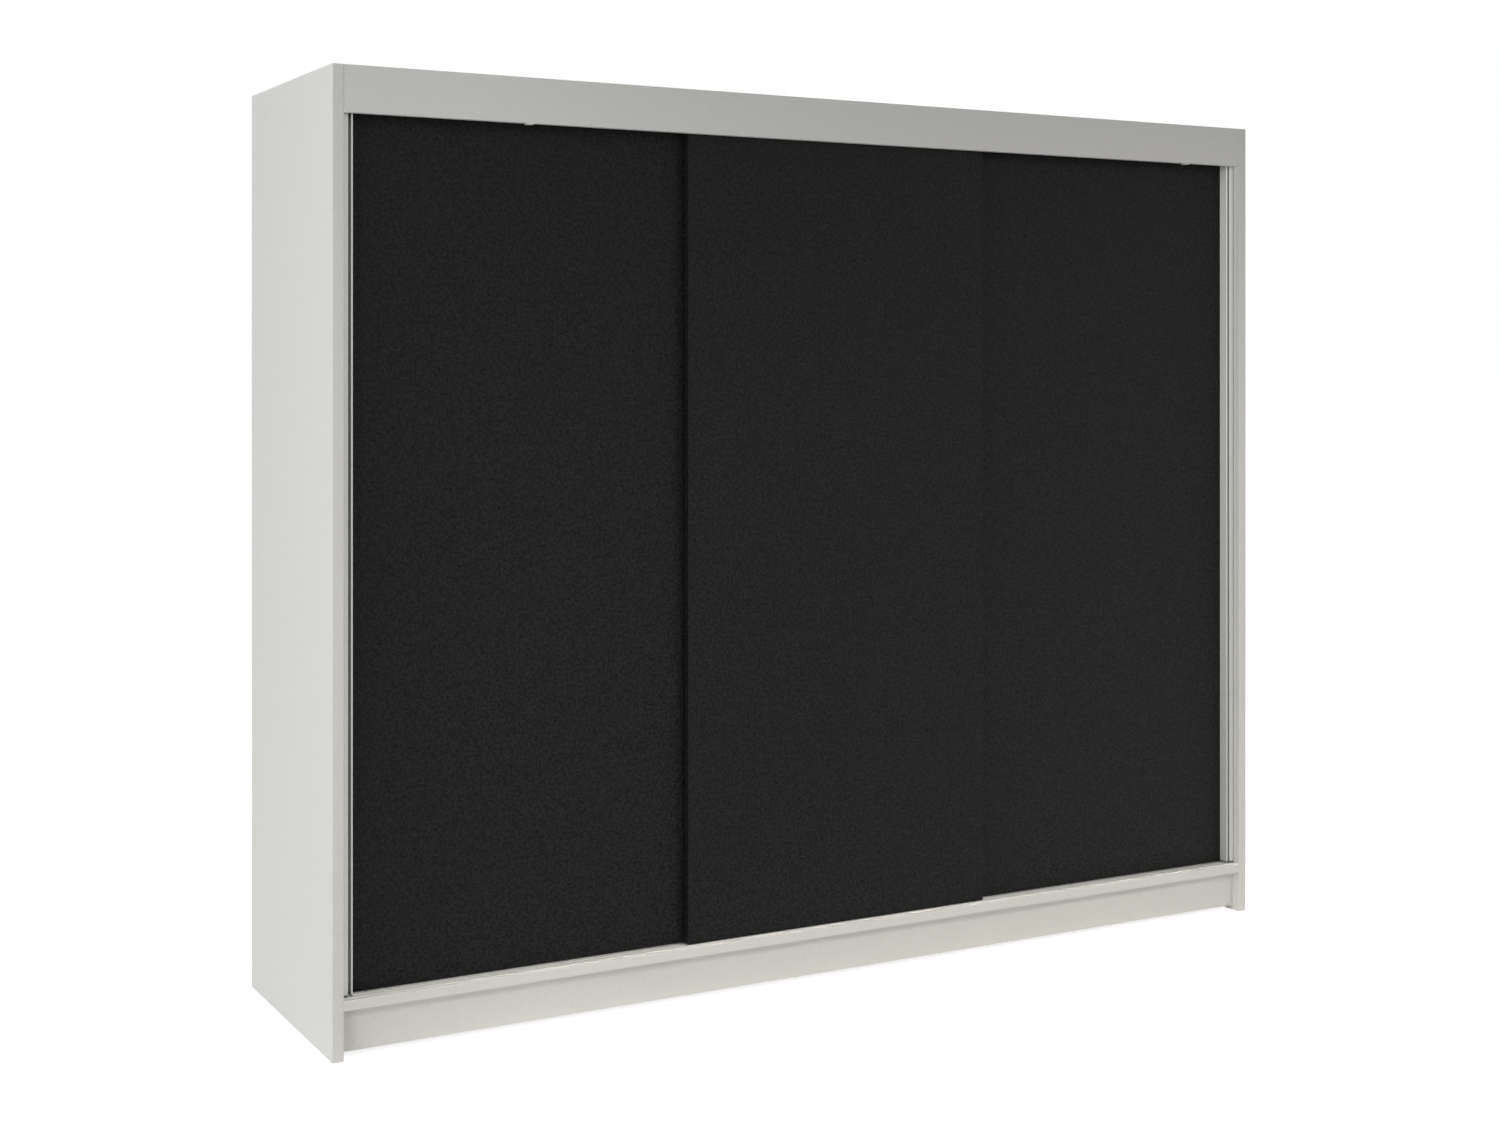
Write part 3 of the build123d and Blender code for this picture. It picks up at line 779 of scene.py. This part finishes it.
# %% [markdown]
# The roller trucks lie in the lower edges of the doors, with a ridge of the track close below.
# Their screws therefore have flat heads, one at each end of a truck.

# %% Screws of the roller trucks
FLAT_HEAD = [(2.4, -1.0), (2.4, 0.1), (2.0, 0.3)]
FROM_WHEEL = 35 * MM

for door in ("left_door", "middle_door", "right_door"):
    places = []
    for first, last in solids_of(f"{door}_trucks"):
        middle = (first + last) / 2
        for x in (middle.x - FROM_WHEEL, middle.x + FROM_WHEEL):
            places.append(((x, middle.y, first.z), (0, 0, -1)))
    screw = turned(f"{door}_truck_screws", FLAT_HEAD, SMALL_ROUND, cross=1.3, sunk=0.2)
    hardware(screw, places, "zinc_plated_steel", body=door)

# %% [markdown]
# ### Nails
#
# The back sheets are nailed to the rear edges of the carcass every 12 centimetres or so: two
# upright columns and two rows, with no nail where the sheets meet at a joint strip.

# %% Nails in the back sheets
NAIL_HEAD = [(2.0, -0.1), (2.0, 0.2), (1.4, 0.35)]
NAIL_SPACING = 120
NAIL_INSET = 10 * MM
ROW_END = 60 * MM
COLUMN_END = 40 * MM
CLEAR_OF_SEAM = 15 * MM

sheet_low, sheet_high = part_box("left_back_panel")
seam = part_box("middle_back_panel")[1][0]
wall_side = sheet_high[1]
edge = -sheet_low[0] - NAIL_INSET
row = spread(ROW_END - edge, edge - ROW_END, NAIL_SPACING)
row = [x for x in row if abs(abs(x) - seam) > CLEAR_OF_SEAM]
column = spread(sheet_low[2] + COLUMN_END, sheet_high[2] - COLUMN_END, NAIL_SPACING)
spots = [(x, wall_side, z) for z in column for x in (-edge, edge)]
for z in (sheet_low[2] + NAIL_INSET, sheet_high[2] - NAIL_INSET):
    spots += [(x, wall_side, z) for x in row]
nail = turned("back_nails", NAIL_HEAD, sides=12)
hardware(nail, [(spot, (0, 1, 0)) for spot in spots], "zinc_plated_steel")

# %% [markdown]
# ## Floor and background
#
# The studio is a white floor under a white surrounding. A floor that is lit until it is white
# would wash out the wardrobe, so this one is a pale paint with a little glow of its own. A Light
# Path node shows the glow only to the camera and in reflections: it throws no light on the
# wardrobe, and the floor keeps the wardrobe's shadow.

# %% Floor
FLOOR_HALF = 40.0
FLOOR_LIFT = 0.8
floor_mesh = bpy.data.meshes.new("floor")
corners = [(-1, -1), (1, -1), (1, 1), (-1, 1)]
floor_mesh.from_pydata(
    [(FLOOR_HALF * x, FLOOR_HALF * y, low.z) for x, y in corners], [], [(0, 1, 2, 3)]
)
floor = bpy.data.objects.new("floor", floor_mesh)
bpy.context.scene.collection.objects.link(floor)

floor_paint, tree, output, _ = new_material("white studio floor")
ray = tree.nodes.new("ShaderNodeLightPath")
seen = add_node(
    tree,
    "ShaderNodeMath",
    {0: ray.outputs["Is Camera Ray"], 1: ray.outputs["Is Glossy Ray"]},
    operation="MAXIMUM",
)
glow = add_node(
    tree, "ShaderNodeMath", {0: seen.outputs[0], 1: FLOOR_LIFT}, operation="MULTIPLY"
)
paint = add_node(tree, "ShaderNodeBsdfDiffuse", {"Color": linear("#EFEEEC")})
lift = add_node(
    tree, "ShaderNodeEmission", {"Color": (1, 1, 1, 1), "Strength": glow.outputs[0]}
)
both = add_node(tree, "ShaderNodeAddShader")
tree.links.new(paint.outputs[0], both.inputs[0])
tree.links.new(lift.outputs[0], both.inputs[1])
tree.links.new(both.outputs[0], output.inputs["Surface"])
floor_mesh.materials.append(floor_paint)
print("floor", 2 * FLOOR_HALF, "m wide")

# %% [markdown]
# The surrounding is one even white. It could be a large shell around the studio, but a world needs
# no mesh. Here too the camera, the reflections and the clear rubber see it at full strength, and
# what it sheds on the wardrobe is lower, so that the white boards keep their shading.

# %% Surrounding light
AMBIENT = 0.28
world = bpy.data.worlds.new("studio")
world.use_nodes = True
bpy.context.scene.world = world
tree = world.node_tree
tree.nodes.clear()
ray = tree.nodes.new("ShaderNodeLightPath")
mirrored = add_node(
    tree,
    "ShaderNodeMath",
    {0: ray.outputs["Is Glossy Ray"], 1: ray.outputs["Is Transmission Ray"]},
    operation="MAXIMUM",
)
seen = add_node(
    tree,
    "ShaderNodeMath",
    {0: ray.outputs["Is Camera Ray"], 1: mirrored.outputs[0]},
    operation="MAXIMUM",
)
strength = add_node(
    tree,
    "ShaderNodeMapRange",
    {"Value": seen.outputs[0], "To Min": AMBIENT, "To Max": 1.0},
)
sky = add_node(
    tree,
    "ShaderNodeBackground",
    {"Color": (1, 1, 1, 1), "Strength": strength.outputs[0]},
)
surrounding = tree.nodes.new("ShaderNodeOutputWorld")
tree.links.new(sky.outputs[0], surrounding.inputs["Surface"])
print("surrounding light", AMBIENT)

# %% [markdown]
# ## Lamps
#
# One large soft lamp stands to the left, like a tall window. It makes the side panel the brightest
# face, and lets the front fall off towards the right. Two small lamps with honeycomb grids hang
# high in front and shine down on the lower half of the front, so that the plinth and the foot of
# the doors don't sink into shade. A long one with a narrow grid hangs nearly over the front and
# draws a bright line along the bottom panel's upper edge. All three are a little warmer than the
# rest. A second large lamp, high behind the right end, lights the top, the back and the right
# side, and the front never sees it.

# %% Lamps
OPEN = 180
WHITE = "#FFFFFF"


def softbox(name, place, target, width, height, watts, spread_degrees=OPEN, tint=WHITE):
    """A rectangular lamp that faces a target; a honeycomb grid makes its spread small."""
    data = bpy.data.lights.new(name, "AREA")
    data.color = linear(tint)[:3]
    data.shape = "RECTANGLE"
    data.size = width
    data.size_y = height
    data.energy = watts
    data.spread = math.radians(spread_degrees)
    lamp = bpy.data.objects.new(name, data)
    lamp.location = place
    lamp.rotation_euler = (Vector(target) - Vector(place)).to_track_quat("-Z", "Y").to_euler()
    bpy.context.scene.collection.objects.link(lamp)


WARM = "#FFF8EE"
GRID = 50
NARROW_GRID = 10
softbox("window light", (-4.6, -2.0, 1.6), (-1.0, 0, 1.2), 3.0, 3.0, 80)
softbox("back light", (2.6, 3.0, 4.0), (0.3, 0, 1.4), 3.0, 3.0, 90)
softbox("left key", (-1.2, -4.0, 3.2), (-0.7, -0.3, 0.1), 0.8, 0.5, 2.0, GRID, WARM)
softbox("right key", (2.2, -4.0, 3.2), (0.9, -0.3, 0.1), 0.8, 0.5, 3.1, GRID, WARM)
softbox("edge light", (0.1, -1.3, 5.0), (0.1, -0.15, 0.1), 2.4, 0.3, 2.3, NARROW_GRID, WARM)
